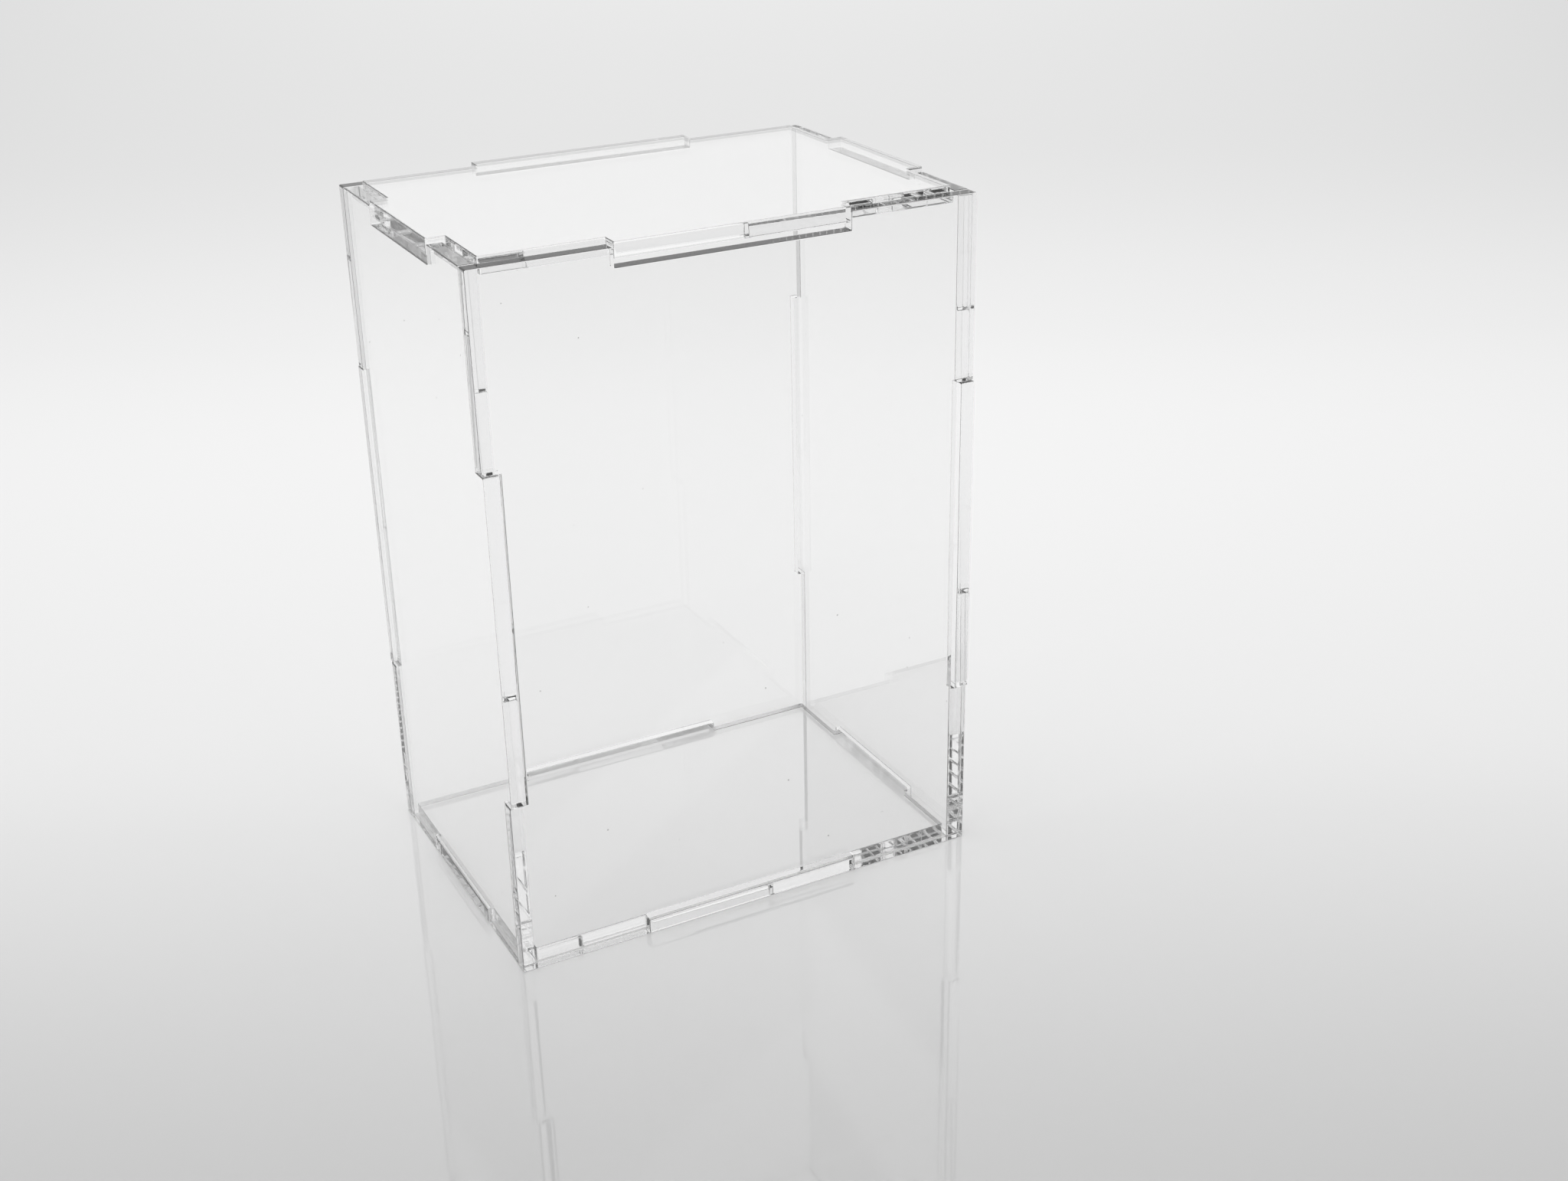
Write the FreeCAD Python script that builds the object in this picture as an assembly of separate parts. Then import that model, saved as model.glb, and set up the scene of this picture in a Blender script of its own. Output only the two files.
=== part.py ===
# Clear acrylic display case: six laser-cut sheets slotted together with fingers.
# Millimetres.  Origin at the centre of the underside, +Z up, front towards -Y.
import FreeCAD, Part
import os

# Driving sizes
WIDTH = 100.0         # outside, over the outer faces of the side walls
DEPTH = 70.0          # outside, over the outer faces of the front and back walls
WALL_HEIGHT = 139.0   # of the four walls, without the lid
SHEET = 3.0           # thickness of the sheet that every piece is cut from
FINGER = 3.6          # how far a finger stands out, and how deep a notch is cut
FINGER_SHARE = 0.5    # share of each edge, between the corners, that its finger takes
FIT_GAP = 0.1         # free play on each side of a finger in its notch
LID_GAP = 1.6         # between the lid's fingers and the notch floors, as it stands
CORNER_RADIUS = 0.3   # left by the cutting beam at each outer corner of an outline

# Sizes that follow from them
HALF_WIDTH = WIDTH / 2
HALF_DEPTH = DEPTH / 2
HALF_HEIGHT = WALL_HEIGHT / 2
FINGER_X = FINGER_SHARE * (HALF_WIDTH - FINGER)    # half lengths of the fingers
FINGER_Y = FINGER_SHARE * (HALF_DEPTH - FINGER)
FINGER_Z = FINGER_SHARE * (HALF_HEIGHT - FINGER)
LID_LEVEL = WALL_HEIGHT - FINGER + LID_GAP         # underside of the lid

# The two directions a sheet is drawn in, and the one it is thick in
LEVEL = ((1, 0, 0), (0, 1, 0), (0, 0, 1))
ACROSS = ((1, 0, 0), (0, 0, 1), (0, 1, 0))
ALONG = ((0, 1, 0), (0, 0, 1), (1, 0, 0))


def outline(half, middle, step):
    """Corners of a rectangle whose four edges each step once, about their middles.

    half is half of its width and height.  middle is half of each step's length, along
    the width and along the height.  step is how far the upright edges and then the
    level ones move there: outwards for a finger, and negative, inwards, for a notch.
    """
    quarter = [
        (half[0] + step[0], middle[1]),
        (half[0], middle[1]),
        (half[0], half[1]),
        (middle[0], half[1]),
        (middle[0], half[1] + step[1]),
    ]
    back = quarter[::-1]
    points = list(quarter)
    points += [(-u, v) for u, v in back]
    points += [(-u, -v) for u, v in quarter]
    points += [(u, -v) for u, v in back]
    return points


def outer_corners(points):
    """The corners that stick out of an outline drawn anticlockwise, not its inner ones."""
    found = []
    for i, (u, v) in enumerate(points):
        before = points[i - 1]
        after = points[(i + 1) % len(points)]
        turn = (u - before[0]) * (after[1] - v) - (v - before[1]) * (after[0] - u)
        if turn > 0:
            found.append((u, v))
    return found


def edge_between(sheet, low, high):
    """The edge of the sheet that joins these two corners."""
    for edge in sheet.Edges:
        ends = [vertex.Point for vertex in edge.Vertexes]
        if all(min(end.distanceToPoint(corner) for end in ends) < 0.001 for corner in (low, high)):
            return edge


def cut_sheet(points, plane, centre, low):
    """Sheet with this outline about centre, starting at low in the plane's thickness."""
    u_axis, v_axis, normal = [FreeCAD.Vector(*axis) for axis in plane]
    start = FreeCAD.Vector(*centre) + normal * low
    corners = [start + u_axis * u + v_axis * v for u, v in points]
    face = Part.Face(Part.makePolygon(corners + corners[:1]))
    sheet = face.extrude(normal * SHEET)
    rounded = [start + u_axis * u + v_axis * v for u, v in outer_corners(points)]
    edges = [edge_between(sheet, corner, corner + normal * SHEET) for corner in rounded]
    return sheet.makeFillet(CORNER_RADIUS, edges)


def level_sheet(low):
    """Lid or base: inside the walls, with a finger out through each of them."""
    points = outline(
        (HALF_WIDTH - FINGER, HALF_DEPTH - FINGER),
        (FINGER_X, FINGER_Y),
        (FINGER, FINGER),
    )
    return cut_sheet(points, LEVEL, (0, 0, 0), low)


def wide_wall(low):
    """Front or back wall: notched on all four edges."""
    points = outline(
        (HALF_WIDTH, HALF_HEIGHT),
        (FINGER_X + FIT_GAP, FINGER_Z + FIT_GAP),
        (-FINGER, -FINGER),
    )
    return cut_sheet(points, ACROSS, (0, 0, HALF_HEIGHT), low)


def side_wall(low):
    """Left or right wall: between the wide walls, with a finger through each of them."""
    points = outline(
        (HALF_DEPTH - SHEET, HALF_HEIGHT),
        (FINGER_Y + FIT_GAP, FINGER_Z),
        (FINGER, -FINGER),
    )
    return cut_sheet(points, ALONG, (0, 0, HALF_HEIGHT), low)


pieces = {
    "base": level_sheet(0),
    "front_wall": wide_wall(-HALF_DEPTH),
    "back_wall": wide_wall(HALF_DEPTH - SHEET),
    "left_wall": side_wall(-HALF_WIDTH),
    "right_wall": side_wall(HALF_WIDTH - SHEET),
    "lid": level_sheet(LID_LEVEL),
}

os.makedirs("parts", exist_ok=True)
for name, shape in pieces.items():
    shape.exportStep("parts/" + name + ".step")
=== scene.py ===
# %% [markdown]
# A tall clear display case made of six laser-cut sheets of acrylic that slot together
# with fingers, and a lid that lifts off.  Clear sheet has no colour to paint.  What the
# eye sees is its edges, because light is bent there and piped along inside the sheet.
# So the work goes into the true shape of each cut edge, and into what stands around the
# case for the edges to show.

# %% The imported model, which fixes every place and size
import math

import bpy
import numpy as np
from mathutils import Matrix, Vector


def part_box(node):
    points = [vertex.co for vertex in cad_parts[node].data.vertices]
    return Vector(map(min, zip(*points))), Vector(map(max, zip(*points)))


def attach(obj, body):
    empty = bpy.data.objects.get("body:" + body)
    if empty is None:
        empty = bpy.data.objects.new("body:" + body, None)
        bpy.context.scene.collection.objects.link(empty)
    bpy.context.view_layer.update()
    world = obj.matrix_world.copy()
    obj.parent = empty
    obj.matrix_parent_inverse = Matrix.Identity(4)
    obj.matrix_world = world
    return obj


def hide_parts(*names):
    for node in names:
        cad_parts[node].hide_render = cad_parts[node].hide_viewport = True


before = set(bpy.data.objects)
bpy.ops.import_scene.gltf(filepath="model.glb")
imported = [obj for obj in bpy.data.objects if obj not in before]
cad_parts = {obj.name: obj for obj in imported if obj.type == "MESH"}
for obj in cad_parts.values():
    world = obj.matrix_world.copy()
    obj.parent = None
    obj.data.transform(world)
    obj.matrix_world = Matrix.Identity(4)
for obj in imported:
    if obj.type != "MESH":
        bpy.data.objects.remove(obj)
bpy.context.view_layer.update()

MM = 0.001

# %% [markdown]
# Every sheet follows from a few sizes.  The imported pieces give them: the front wall's box
# tells the thickness of the sheet, and the side wall's box tells how far its finger stands
# out through the front wall.  Reading them here keeps the looks true to the model.

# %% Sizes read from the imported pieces
front_low, front_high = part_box("front_wall")
LID_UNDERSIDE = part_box("lid")[0].z
FINGER_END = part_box("left_wall")[1].y

SHEET = front_high.y - front_low.y
HALF_WIDTH = front_high.x
HALF_DEPTH = -front_low.y
HALF_HEIGHT = (front_high.z - front_low.z) / 2
FINGER = FINGER_END - HALF_DEPTH + SHEET
FINGER_SHARE = 0.5
FIT_GAP = 0.1 * MM
FINGER_X = FINGER_SHARE * (HALF_WIDTH - FINGER)
FINGER_Y = FINGER_SHARE * (HALF_DEPTH - FINGER)
FINGER_Z = FINGER_SHARE * (HALF_HEIGHT - FINGER)
print("sheet", round(SHEET / MM, 2), "mm, finger", round(FINGER / MM, 2), "mm")

# %% [markdown]
# The camera stands a little above the case and to its left, and looks down on the lid.
# A long-ish lens keeps the tall walls from leaning too much.  It is placed by its heading,
# its tilt and a very small roll, so each angle can be read and changed by itself.

# %% Camera
HEADING = math.radians(27.66)
TILT = math.radians(24.91)
ROLL = math.radians(-1.08)
CAMERA_PLACE = (-0.1535, -0.3433, 0.2293)

camera_data = bpy.data.cameras.new("camera")
camera_data.sensor_width = 36.0
camera_data.lens = 46.15
camera = bpy.data.objects.new("camera", camera_data)
camera.matrix_world = (
    Matrix.Translation(CAMERA_PLACE)
    @ Matrix.Rotation(-HEADING, 4, "Z")
    @ Matrix.Rotation(math.pi / 2 - TILT, 4, "X")
    @ Matrix.Rotation(ROLL, 4, "Z")
)
bpy.context.scene.collection.objects.link(camera)
bpy.context.scene.camera = camera
print("camera", round(math.dist(CAMERA_PLACE, (0, 0, HALF_HEIGHT)), 2), "m from the case's middle")

# %% [markdown]
# A sheet's outline is a rectangle whose four edges each step once about their middles:
# outwards for a finger, inwards for a notch.  The cutting beam leaves the outer corners
# very slightly round.  The outline is sampled closely, because the cut edge gets fine
# ripples that need points to stand on.

# %% The outline of a sheet as a closed path with outward directions
CORNER_RADIUS = 0.3 * MM
CORNER_POINTS = 5
STEP = 0.3 * MM


def stepped_corners(half, middle, step):
    """Corners of a rectangle with a centred step in each edge, anticlockwise.

    One quarter is (half + step, middle), (half, middle), (half, half), (middle, half),
    (middle, half + step), and the other three are its mirror images.
    """
    quarter = np.array([
        (half[0] + step[0], middle[1]),
        (half[0], middle[1]),
        (half[0], half[1]),
        (middle[0], half[1]),
        (middle[0], half[1] + step[1]),
    ])
    mirrored = quarter[::-1]
    return np.concatenate([
        quarter,
        mirrored * (-1, 1),
        quarter * (-1, -1),
        mirrored * (1, -1),
    ])


def cut_path(corners, radius=CORNER_RADIUS, step=STEP):
    """Points and outward directions along the outline, and where each is along it.

    Outer corners become quarter circles of this radius about a centre one radius in from
    both edges.  Inner corners stay sharp, and their direction is the sum of the two
    edges' normals, so that moving in by d moves in by d from both edges.
    """
    ahead = np.roll(corners, -1, axis=0) - corners
    length = np.linalg.norm(ahead, axis=1, keepdims=True)
    ahead = ahead / length
    normal = np.stack([ahead[:, 1], -ahead[:, 0]], axis=1)
    before = np.roll(normal, 1, axis=0)
    turn = np.roll(ahead, 1, axis=0)
    outer = turn[:, 0] * ahead[:, 1] - turn[:, 1] * ahead[:, 0] > 0
    trim = np.where(outer, radius, 0.0)
    points, directions = [], []
    for i, corner in enumerate(corners):
        if outer[i]:
            angle = np.linspace(0, math.pi / 2, CORNER_POINTS)[:, None]
            out = np.cos(angle) * before[i] + np.sin(angle) * normal[i]
            points.append(corner - radius * (before[i] + normal[i]) + radius * out)
            directions.append(out)
        else:
            points.append(corner[None])
            directions.append((before[i] + normal[i])[None])
        start = corner + ahead[i] * trim[i]
        run = length[i, 0] - trim[i] - trim[(i + 1) % len(corners)]
        parts = max(2, int(run / step))
        share = np.linspace(0, 1, parts + 1)[1:-1, None]
        points.append(start + ahead[i] * run * share)
        directions.append(np.repeat(normal[i][None], parts - 1, axis=0))
    points = np.concatenate(points)
    directions = np.concatenate(directions)
    gaps = np.linalg.norm(points - np.roll(points, 1, axis=0), axis=1)
    return points, directions, np.cumsum(gaps)


# %% [markdown]
# The cut edge is a profile carried along that path.  Both rims, where the beam enters and
# where it leaves, are melted a little round, by the same amount.  The melt runs down the cut
# in ripples, which are faint at the entry side and stronger towards the exit.  They matter
# far more than their size: they break the straight images in a clear edge into the
# slanting dark and light flecks that say "laser-cut".

# %% The cut edge's profile and its ripples
RIM = 0.14 * MM
RIM_LINES = 4
STRAIGHT_PARTS = 8
RIPPLE_LENGTHS = np.array([0.9, 1.4, 2.3, 3.7]) * MM
RIPPLE_HEIGHT = 0.005 * MM
RIPPLE_SLANT = 0.45


def edge_profile(thickness, rim=RIM):
    """How far in, and how far through the sheet, for each line of points along the edge.

    Each rim is a quarter circle, in = rim (1 - sin a), through = rim (1 - cos a), with
    straight edge between the two.
    """
    angle = np.linspace(0, math.pi / 2, RIM_LINES)
    inward = rim * (1 - np.sin(angle))
    through = rim * (1 - np.cos(angle))
    middle = np.linspace(0, 1, STRAIGHT_PARTS + 1)[1:-1]
    inward = np.concatenate([inward, 0 * middle, inward[::-1]])
    straight = through[-1] + middle * (thickness - 2 * through[-1])
    through = np.concatenate([through, straight, thickness - through[::-1]])
    return inward, through


def ripples(along, through, seed):
    """How deep the ripples are at each point of the edge.

    A sine wave of each length runs along the path, drawn back by RIPPLE_SLANT times the
    depth through the sheet.  Depth is RIPPLE_HEIGHT (1 + mean of the sines) / 2, times the
    share of the sheet passed through, so it is nothing where the beam enters.  Each length
    is fitted to the path a whole number of times, so that the ripples close on themselves.
    """
    total = along[-1]
    waves = len(RIPPLE_LENGTHS)
    phases = np.random.default_rng(seed).uniform(0, 2 * math.pi, waves)
    place = along[:, None] - RIPPLE_SLANT * through[None, :]
    turns = np.round(total / RIPPLE_LENGTHS)
    angle = 2 * math.pi * place[:, :, None] * turns / total + phases
    swell = 0.5 + np.sin(angle).sum(axis=2) / (2 * waves)
    return RIPPLE_HEIGHT * swell * through / SHEET


def cut_sheet(name, corners, u_axis, v_axis, start, seed):
    """A sheet: the profile carried along the outline, closed by two flat faces.

    Point (i, k) is path i moved in by profile k plus the ripple there, at depth k along
    the third axis, which is u x v.
    """
    path, out, along = cut_path(corners)
    inward, through = edge_profile(SHEET)
    depth = inward[None, :] + ripples(along, through, seed)
    flat = path[:, None, :] - out[:, None, :] * depth[:, :, None]
    u_axis, v_axis = np.array(u_axis, float), np.array(v_axis, float)
    third = np.cross(u_axis, v_axis)
    points = (
        np.array(start)
        + flat[:, :, :1] * u_axis
        + flat[:, :, 1:] * v_axis
        + through[None, :, None] * third
    )
    rows, columns = points.shape[:2]
    index = np.arange(rows * columns).reshape(rows, columns)
    following = np.roll(index, -1, axis=0)
    quads = np.stack(
        [index[:, :-1], following[:, :-1], following[:, 1:], index[:, 1:]], axis=-1
    ).reshape(-1, 4)
    faces = quads.tolist() + [index[::-1, 0].tolist(), index[:, -1].tolist()]
    mesh = bpy.data.meshes.new(name)
    mesh.from_pydata(points.reshape(-1, 3).tolist(), [], faces)
    smooth = np.ones(len(faces), bool)
    smooth[-2:] = False
    mesh.polygons.foreach_set("use_smooth", smooth)
    mesh.polygons.foreach_set("material_index", smooth.astype(np.int32))
    mesh.update()
    piece = bpy.data.objects.new(name, mesh)
    bpy.context.scene.collection.objects.link(piece)
    print(name, len(mesh.vertices), "points, valid:", not mesh.validate(verbose=True))
    return piece


# %% [markdown]
# Three shapes make all six sheets.  The lid and the base are alike: a plate inside the
# walls with a finger out through each.  The front and back walls are notched on all four
# edges.  The side walls stand between them and push a tall finger out through each.

# %% The six sheets
PLATE = stepped_corners(
    (HALF_WIDTH - FINGER, HALF_DEPTH - FINGER), (FINGER_X, FINGER_Y), (FINGER, FINGER)
)
WIDE_WALL = stepped_corners(
    (HALF_WIDTH, HALF_HEIGHT),
    (FINGER_X + FIT_GAP, FINGER_Z + FIT_GAP),
    (-FINGER, -FINGER),
)
SIDE_WALL = stepped_corners(
    (HALF_DEPTH - SHEET, HALF_HEIGHT),
    (FINGER_Y + FIT_GAP, FINGER_Z),
    (FINGER, -FINGER),
)
X_AXIS, Y_AXIS, Z_AXIS = np.eye(3)

sheets = {
    "base": (PLATE, X_AXIS, Y_AXIS, (0, 0, 0)),
    "lid": (PLATE, X_AXIS, Y_AXIS, (0, 0, LID_UNDERSIDE)),
    "front_wall": (WIDE_WALL, X_AXIS, Z_AXIS, (0, SHEET - HALF_DEPTH, HALF_HEIGHT)),
    "back_wall": (WIDE_WALL, X_AXIS, Z_AXIS, (0, HALF_DEPTH, HALF_HEIGHT)),
    "left_wall": (SIDE_WALL, Y_AXIS, Z_AXIS, (-HALF_WIDTH, 0, HALF_HEIGHT)),
    "right_wall": (SIDE_WALL, Y_AXIS, Z_AXIS, (HALF_WIDTH - SHEET, 0, HALF_HEIGHT)),
}
pieces = {}
for seed, (node, build) in enumerate(sheets.items()):
    piece = cut_sheet(node + "_sheet", *build, seed)
    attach(piece, "lid" if node == "lid" else "case")
    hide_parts(node)
    pieces[node] = piece

# %% [markdown]
# Materials are made of nodes.  One small function adds a node, sets its values and makes
# its links, and another turns the hex colours that people write into the linear numbers
# that light is worked out with.  A material here is one list of such nodes, read downwards.

# %% Helpers for materials


def add_node(tree, kind, settings=None, inputs=None):
    """Adds a node.  inputs is {socket: value, or a node that feeds it, or its output}."""
    node = tree.nodes.new(kind)
    for key, value in (settings or {}).items():
        setattr(node, key, value)
    for key, value in (inputs or {}).items():
        if isinstance(value, bpy.types.Node):
            value = next(out for out in value.outputs if out.enabled)
        if isinstance(value, bpy.types.NodeSocket):
            tree.links.new(value, node.inputs[key])
        else:
            node.inputs[key].default_value = value
    return node


def linear(hex_colour):
    """An sRGB hex colour as linear red, green, blue and alpha."""
    srgb = np.array([int(hex_colour[i:i + 2], 16) for i in (1, 3, 5)]) / 255
    rgb = np.where(srgb <= 0.04045, srgb / 12.92, ((srgb + 0.055) / 1.055) ** 2.4)
    return (*rgb.tolist(), 1.0)


def new_material(name):
    """A material with an empty node tree."""
    material = bpy.data.materials.new(name)
    material.use_nodes = True
    material.node_tree.nodes.clear()
    return material


def set_colours(ramp, colours):
    """Fills a colour ramp from {place from 0 to 1: hex colour}."""
    elements = ramp.color_ramp.elements
    while len(elements) < len(colours):
        elements.new(1.0)
    for element, (place, colour) in zip(elements, colours.items()):
        element.position = place
        element.color = linear(colour)


# %% [markdown]
# The faces are cast acrylic as it comes from under its paper: clear and glossy.  Handling
# adds three faint things: soft smears of the cloth, hairline scratches that run its way,
# and single specks of dust.  Patterns are sized by the millimetre and read the piece's own
# coordinates in metres, so a pattern's scale is one over its size.

# %% Cast acrylic, polished face
ACRYLIC_IOR = 1.49
SMEAR_SIZE = 17 * MM
SCRATCH_LENGTH = 60 * MM
# A real hairline is 0.02 mm wide, which would not show, so it is drawn wider.
SCRATCH_WIDTH = 0.3 * MM
DUST_SPACING = 9 * MM
DUST_SIZE = 0.14 * MM
# A speck is grey out to its size, and has faded out at this many times its size.
DUST_FADE = 1.5
DUST_GREY = "#a8a8a6"
# Roughness at the strongest: a smear only softens a reflection, a scratch catches light.
SMEAR_ROUGHNESS = 0.005
SCRATCH_ROUGHNESS = 0.06
# Noise counts from the first value on, and in full from the second.
PATCHY = (0.45, 0.75)
SPARSE = (0.80, 0.84)
# The cloth's way over the case, turned from each axis, in radians.
WIPING_TURN = (0.5, 0.35, 0.6)
EASED = {"interpolation_type": "SMOOTHSTEP"}


def cast_acrylic_face():
    """Clear gloss.  Roughness is smears plus scratches, and the colour has grey specks."""
    material = new_material("cast_acrylic_polished_face")
    tree = material.node_tree
    place = add_node(tree, "ShaderNodeTexCoord").outputs["Object"]
    smear = add_node(
        tree, "ShaderNodeTexNoise", {},
        {"Vector": place, "Scale": 1 / SMEAR_SIZE, "Detail": 3.0},
    )
    haze = add_node(
        tree, "ShaderNodeMapRange", EASED,
        {"Value": smear, "From Min": PATCHY[0], "From Max": PATCHY[1],
         "To Max": SMEAR_ROUGHNESS},
    )
    wiped = add_node(
        tree, "ShaderNodeMapping", {},
        {"Vector": place, "Rotation": WIPING_TURN,
         "Scale": (1 / SCRATCH_LENGTH, 1 / SCRATCH_WIDTH, 1 / SCRATCH_WIDTH)},
    )
    hairlines = add_node(
        tree, "ShaderNodeTexNoise", {}, {"Vector": wiped, "Scale": 1.0, "Detail": 0.0}
    )
    scratch = add_node(
        tree, "ShaderNodeMapRange", EASED,
        {"Value": hairlines, "From Min": SPARSE[0], "From Max": SPARSE[1],
         "To Max": SCRATCH_ROUGHNESS},
    )
    roughness = add_node(
        tree, "ShaderNodeMath", {"operation": "ADD"}, {0: haze, 1: scratch}
    )
    specks = add_node(
        tree, "ShaderNodeTexVoronoi", {}, {"Vector": place, "Scale": 1 / DUST_SPACING}
    )
    size = DUST_SIZE / DUST_SPACING
    clear = add_node(
        tree, "ShaderNodeMapRange", EASED,
        {"Value": specks, "From Min": size, "From Max": DUST_FADE * size},
    )
    colour = add_node(tree, "ShaderNodeValToRGB", {}, {"Fac": clear})
    set_colours(colour, {0.0: DUST_GREY, 1.0: "#ffffff"})
    shader = add_node(
        tree, "ShaderNodeBsdfPrincipled", {},
        {"Base Color": colour, "Roughness": roughness, "IOR": ACRYLIC_IOR,
         "Transmission Weight": 1.0},
    )
    add_node(tree, "ShaderNodeOutputMaterial", {}, {"Surface": shader})
    return material


# %% [markdown]
# The cut edge is acrylic too, but the beam has melted it.  It is as clear as the face,
# because melting polishes.  Here and there the melt has chilled a little dull.

# %% Laser-cut acrylic edge
MELT_SIZE = 1.1 * MM
MELT_ROUGHNESS = 0.03


def laser_cut_edge():
    """Clear gloss, up to MELT_ROUGHNESS in patches the size of a melt drop."""
    material = new_material("laser_cut_acrylic_edge")
    tree = material.node_tree
    place = add_node(tree, "ShaderNodeTexCoord").outputs["Object"]
    melt = add_node(
        tree, "ShaderNodeTexNoise", {},
        {"Vector": place, "Scale": 1 / MELT_SIZE, "Detail": 2.0},
    )
    dull = add_node(
        tree, "ShaderNodeMapRange", EASED,
        {"Value": melt, "From Min": PATCHY[0], "From Max": PATCHY[1],
         "To Max": MELT_ROUGHNESS},
    )
    shader = add_node(
        tree, "ShaderNodeBsdfPrincipled", {},
        {"Base Color": linear("#ffffff"), "Roughness": dull, "IOR": ACRYLIC_IOR,
         "Transmission Weight": 1.0},
    )
    add_node(tree, "ShaderNodeOutputMaterial", {}, {"Surface": shader})
    return material


face_finish = cast_acrylic_face()
edge_finish = laser_cut_edge()
for piece in pieces.values():
    piece.data.materials.append(face_finish)
    piece.data.materials.append(edge_finish)
print("finishes:", face_finish.name, "and", edge_finish.name)

# %% [markdown]
# The case stands on a glossy white board, which shows a faint mirror image of it.  The
# board is brightest behind the case and falls off towards the camera and to either side,
# as it would under a soft lamp hung over its far half.  That falloff is painted light,
# drawn into the board's colour, because a lamp that near would put a bright square into
# every glossy surface.

# %% The board
REACH = 8.0
# A hair under the case, so that the two surfaces never lie in one plane.
FLOOR_DROP = 0.02 * MM
# Above the 1.5 of real lacquer, so that the mirror image of so clear a case shows.
BOARD_IOR = 2.1
BOARD_ROUGHNESS = 0.03
ALONG = (math.sin(HEADING), math.cos(HEADING), 0.0)
ACROSS = (math.cos(HEADING), -math.sin(HEADING), 0.0)
# Places are metres along the camera's heading, counted from the middle of the case.
NEAR, FAR = -0.2, 0.8
# Painted lamp falloff: the board's grey at each place along the heading.
PAINTED_FALLOFF_GREYS = {
    -0.13: "#bbbbbb", 0.0: "#f3f3f3", 0.08: "#f6f6f6",
    0.20: "#fefefe", 0.34: "#fafafa", 0.60: "#dfdfdf",
}
# Painted lamp falloff: to either side the board is darker by SIDE_LOSS at SIDE_SPAN metres.
SIDE_SPAN = 0.7
SIDE_LOSS = 0.4


def gloss_white_board_painted_falloff():
    """Colour is painted lamp falloff.

    Grey(distance along the heading) times 1 - SIDE_LOSS (distance aside / SIDE_SPAN)^2.
    """
    material = new_material("gloss_white_board_painted_falloff")
    tree = material.node_tree
    place = add_node(tree, "ShaderNodeTexCoord").outputs["Object"]
    dot = {"operation": "DOT_PRODUCT"}
    along = add_node(tree, "ShaderNodeVectorMath", dot, {0: place, 1: ALONG})
    across = add_node(tree, "ShaderNodeVectorMath", dot, {0: place, 1: ACROSS})
    distance = add_node(
        tree, "ShaderNodeMapRange", {}, {"Value": along, "From Min": NEAR, "From Max": FAR}
    )
    # Painted lamp falloff: darker towards the camera, then darker to either side.
    grey = add_node(tree, "ShaderNodeValToRGB", {}, {"Fac": distance})
    grey.color_ramp.interpolation = "B_SPLINE"
    set_colours(grey, {(d - NEAR) / (FAR - NEAR): colour for d, colour in PAINTED_FALLOFF_GREYS.items()})
    squared = add_node(
        tree, "ShaderNodeMath", {"operation": "MULTIPLY"}, {0: across, 1: across}
    )
    side = add_node(
        tree, "ShaderNodeMapRange", {},
        {"Value": squared, "From Max": SIDE_SPAN ** 2, "To Min": 1.0,
         "To Max": 1.0 - SIDE_LOSS},
    )
    colour = add_node(
        tree, "ShaderNodeMath", {"operation": "MULTIPLY"}, {0: grey, 1: side}
    )
    shader = add_node(
        tree, "ShaderNodeBsdfPrincipled", {},
        {"Base Color": colour, "Roughness": BOARD_ROUGHNESS, "IOR": BOARD_IOR},
    )
    add_node(tree, "ShaderNodeOutputMaterial", {}, {"Surface": shader})
    return material


floor_mesh = bpy.data.meshes.new("floor")
floor_mesh.from_pydata(
    [(-REACH, -REACH, 0), (REACH, -REACH, 0), (REACH, REACH, 0), (-REACH, REACH, 0)],
    [], [(0, 1, 2, 3)],
)
floor_mesh.materials.append(gloss_white_board_painted_falloff())
floor = bpy.data.objects.new("floor", floor_mesh)
floor.location.z = -FLOOR_DROP
bpy.context.scene.collection.objects.link(floor)
print("board", 2 * REACH, "m across, drawn with", len(PAINTED_FALLOFF_GREYS), "greys")

# %% [markdown]
# A clear case is lit by what stands round it.  White tent all round makes its faces
# vanish and its board glow.  The dark lines in the cut edges are pictures of black cards:
# wide ones to the left of the camera and behind it, and one at the back left.  High up,
# the bright bars of the tent's frame cross them.  A photographer hides such cards from
# everything but the edges.  Here the world shows them only to light that has been piped
# inside a sheet, so board and faces stay pale from every side.

# %% Places and strengths in the tent


def direction(heading, height):
    """Unit vector: heading is turned from +Y towards +X, height is above the horizon."""
    heading, height = math.radians(heading), math.radians(height)
    level = math.cos(height)
    return (math.sin(heading) * level, math.cos(heading) * level, math.sin(height))


# Each card is its heading, height, radius and soft edge, in degrees.
BLACK_CARDS = {
    "left": (-105, 20, 60, 5),
    "front": (178, 12, 32, 6),
    "back left": (-45, 36, 33, 3),
}
TENT = 0.98
WALLS_TO_ROOF = {
    0.0: "#ffffff", 0.46: "#ffffff", 0.56: "#ededed", 0.70: "#f3f3f3", 0.80: "#ffffff",
    1.0: "#f3f3f3",
}
HOW_DARK = 0.95
# Bars are slices across an axis, given as heading and height in degrees.  The spacing is
# in steps of the cosine to that axis, and the width and soft edge are shares of a spacing.
BAR_AXIS = (44, 48)
BAR_SPACING = 0.15
BAR_WIDTH = 0.26
BAR_EDGE = 0.02
# Upward parts of the direction: where the bars begin, and where the cards do.
BARS_FROM = (0.38, 0.44)
CARDS_FROM = (0.0, 0.03)
print("bars begin", round(math.degrees(math.asin(BARS_FROM[0]))), "degrees up")

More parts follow.
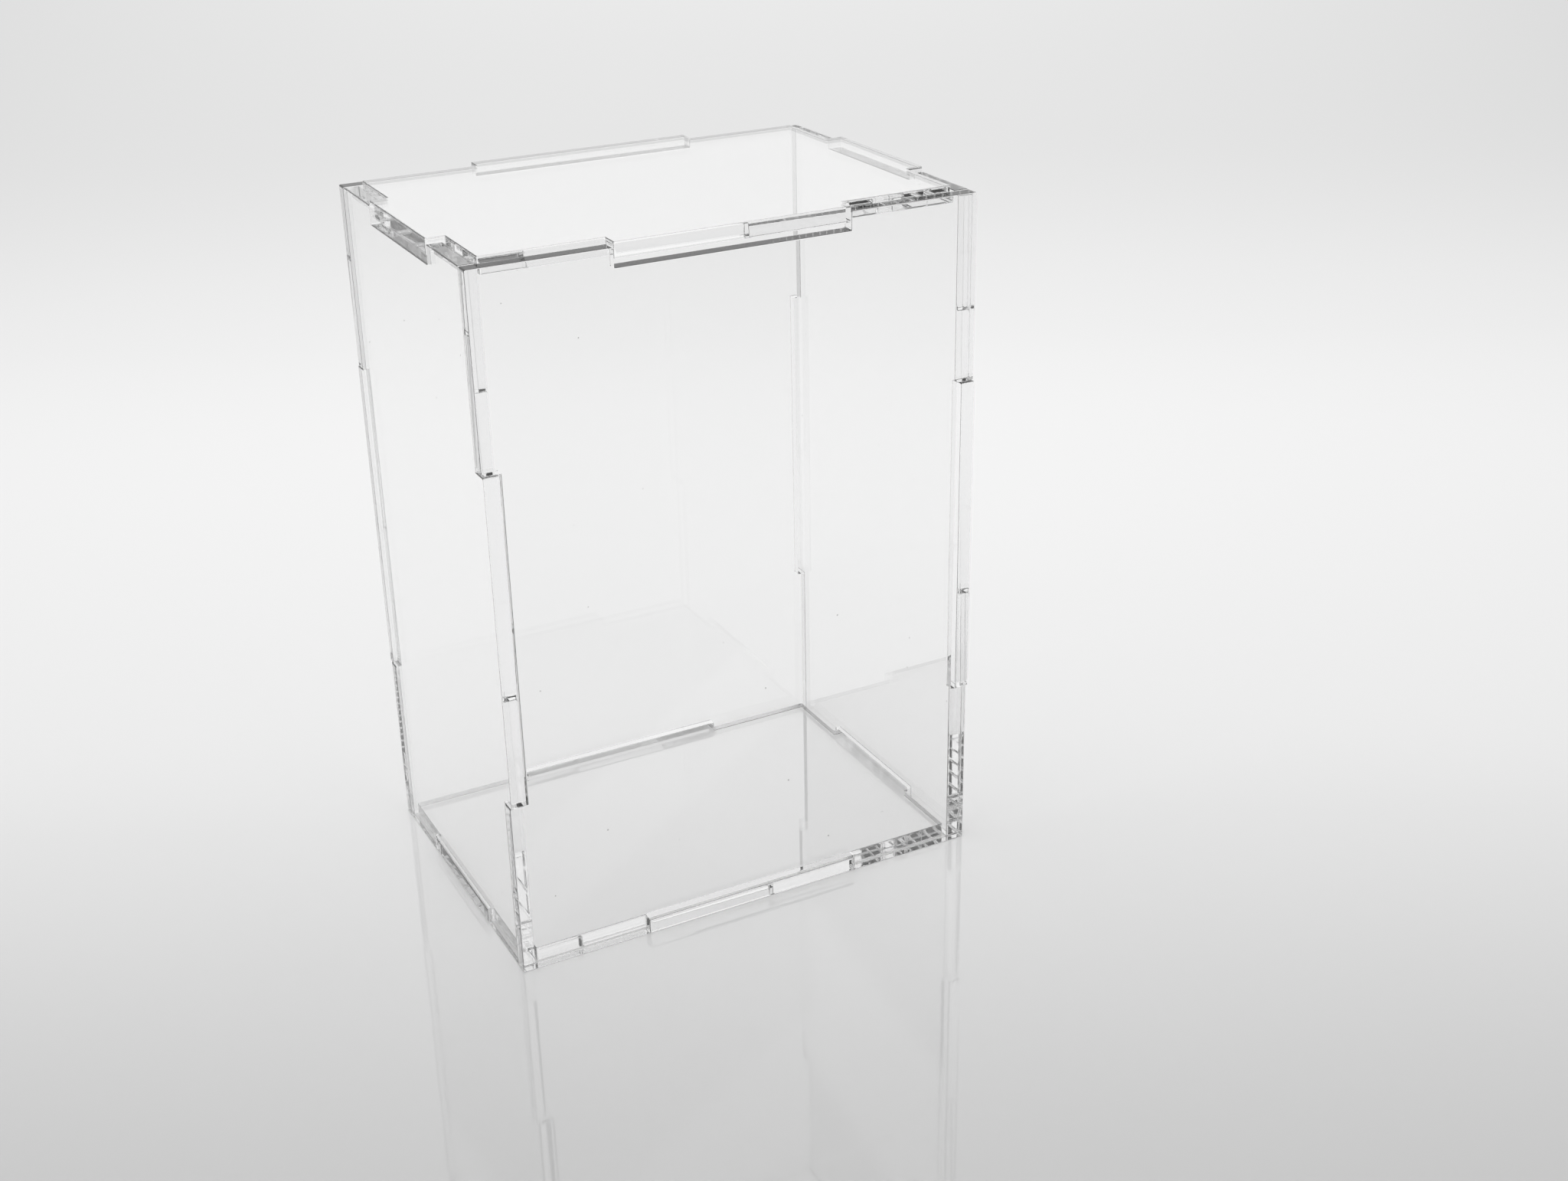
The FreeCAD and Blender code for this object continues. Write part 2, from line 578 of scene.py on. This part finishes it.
# %% The tent
world = bpy.data.worlds.new("white_tent")
bpy.context.scene.world = world
world.use_nodes = True
tent = world.node_tree
tent.nodes.clear()
way = add_node(tent, "ShaderNodeTexCoord").outputs["Generated"]
upward = add_node(tent, "ShaderNodeSeparateXYZ", {}, {"Vector": way}).outputs["Z"]
panels = add_node(tent, "ShaderNodeValToRGB", {}, {"Fac": upward})
panels.color_ramp.interpolation = "B_SPLINE"
set_colours(panels, WALLS_TO_ROOF)


def round_patch(heading, height, radius, edge):
    """1 within radius degrees of a direction, and 0 beyond radius + edge."""
    facing = add_node(
        tent, "ShaderNodeVectorMath", {"operation": "DOT_PRODUCT"},
        {0: way, 1: direction(heading, height)},
    )
    return add_node(
        tent, "ShaderNodeMapRange", EASED,
        {"Value": facing, "From Min": math.cos(math.radians(radius + edge)),
         "From Max": math.cos(math.radians(radius))},
    )


dark = 0.0
for card in BLACK_CARDS.values():
    dark = add_node(
        tent, "ShaderNodeMath", {"operation": "MAXIMUM"}, {0: dark, 1: round_patch(*card)}
    )

# %% The bright bars that cross the cards, high up
slant = add_node(
    tent, "ShaderNodeVectorMath", {"operation": "DOT_PRODUCT"},
    {0: way, 1: direction(*BAR_AXIS)},
)
turns = add_node(
    tent, "ShaderNodeMath", {"operation": "DIVIDE"}, {0: slant, 1: BAR_SPACING}
)
stripe = add_node(
    tent, "ShaderNodeMath", {"operation": "PINGPONG"}, {0: turns, 1: 0.5}
)
between_bars = add_node(
    tent, "ShaderNodeMapRange", EASED,
    {"Value": stripe, "From Min": BAR_WIDTH / 2 - BAR_EDGE,
     "From Max": BAR_WIDTH / 2 + BAR_EDGE},
)
low_down = add_node(
    tent, "ShaderNodeMapRange", EASED,
    {"Value": upward, "From Min": BARS_FROM[0], "From Max": BARS_FROM[1],
     "To Min": 1.0, "To Max": 0.0},
)
unbarred = add_node(
    tent, "ShaderNodeMath", {"operation": "MAXIMUM"}, {0: between_bars, 1: low_down}
)
above_horizon = add_node(
    tent, "ShaderNodeMapRange", EASED,
    {"Value": upward, "From Min": CARDS_FROM[0], "From Max": CARDS_FROM[1]},
)

# %% Light from each direction: the tent, less what the cards hide
light_path = add_node(tent, "ShaderNodeLightPath")
# Light turned once may only have met the board.  Turned twice, it is mostly in a sheet.
piped = add_node(
    tent, "ShaderNodeMapRange", {},
    {"Value": light_path.outputs["Glossy Depth"], "From Min": 1.0, "From Max": 2.0},
)
leaving = light_path.outputs["Is Transmission Ray"]
for factor in (unbarred, above_horizon, leaving, piped, HOW_DARK):
    dark = add_node(
        tent, "ShaderNodeMath", {"operation": "MULTIPLY"}, {0: dark, 1: factor}
    )
light = add_node(tent, "ShaderNodeMath", {"operation": "SUBTRACT"}, {0: 1.0, 1: dark})
strength = add_node(
    tent, "ShaderNodeMath", {"operation": "MULTIPLY"}, {0: light, 1: TENT}
)
background = add_node(
    tent, "ShaderNodeBackground", {}, {"Color": panels, "Strength": strength}
)
add_node(tent, "ShaderNodeOutputWorld", {}, {"Surface": background})
print("tent with", len(BLACK_CARDS), "black cards and", len(tent.nodes), "nodes")

# %% [markdown]
# Light that enters a cut edge runs down the sheet from face to face, dozens of times,
# before it leaves.  The usual limits stop it after four turns and leave the edges black,
# so they are raised here.  The blurring of light that has met the board is turned off,
# because it would darken the board under the base.

# %% How long light is followed inside the sheets
paths = bpy.context.scene.cycles
paths.max_bounces = 40
paths.glossy_bounces = 32
paths.transmission_bounces = 32
paths.blur_glossy = 0.0
bpy.context.scene.view_settings.view_transform = "Standard"
print("light is followed for", paths.max_bounces, "turns at most")
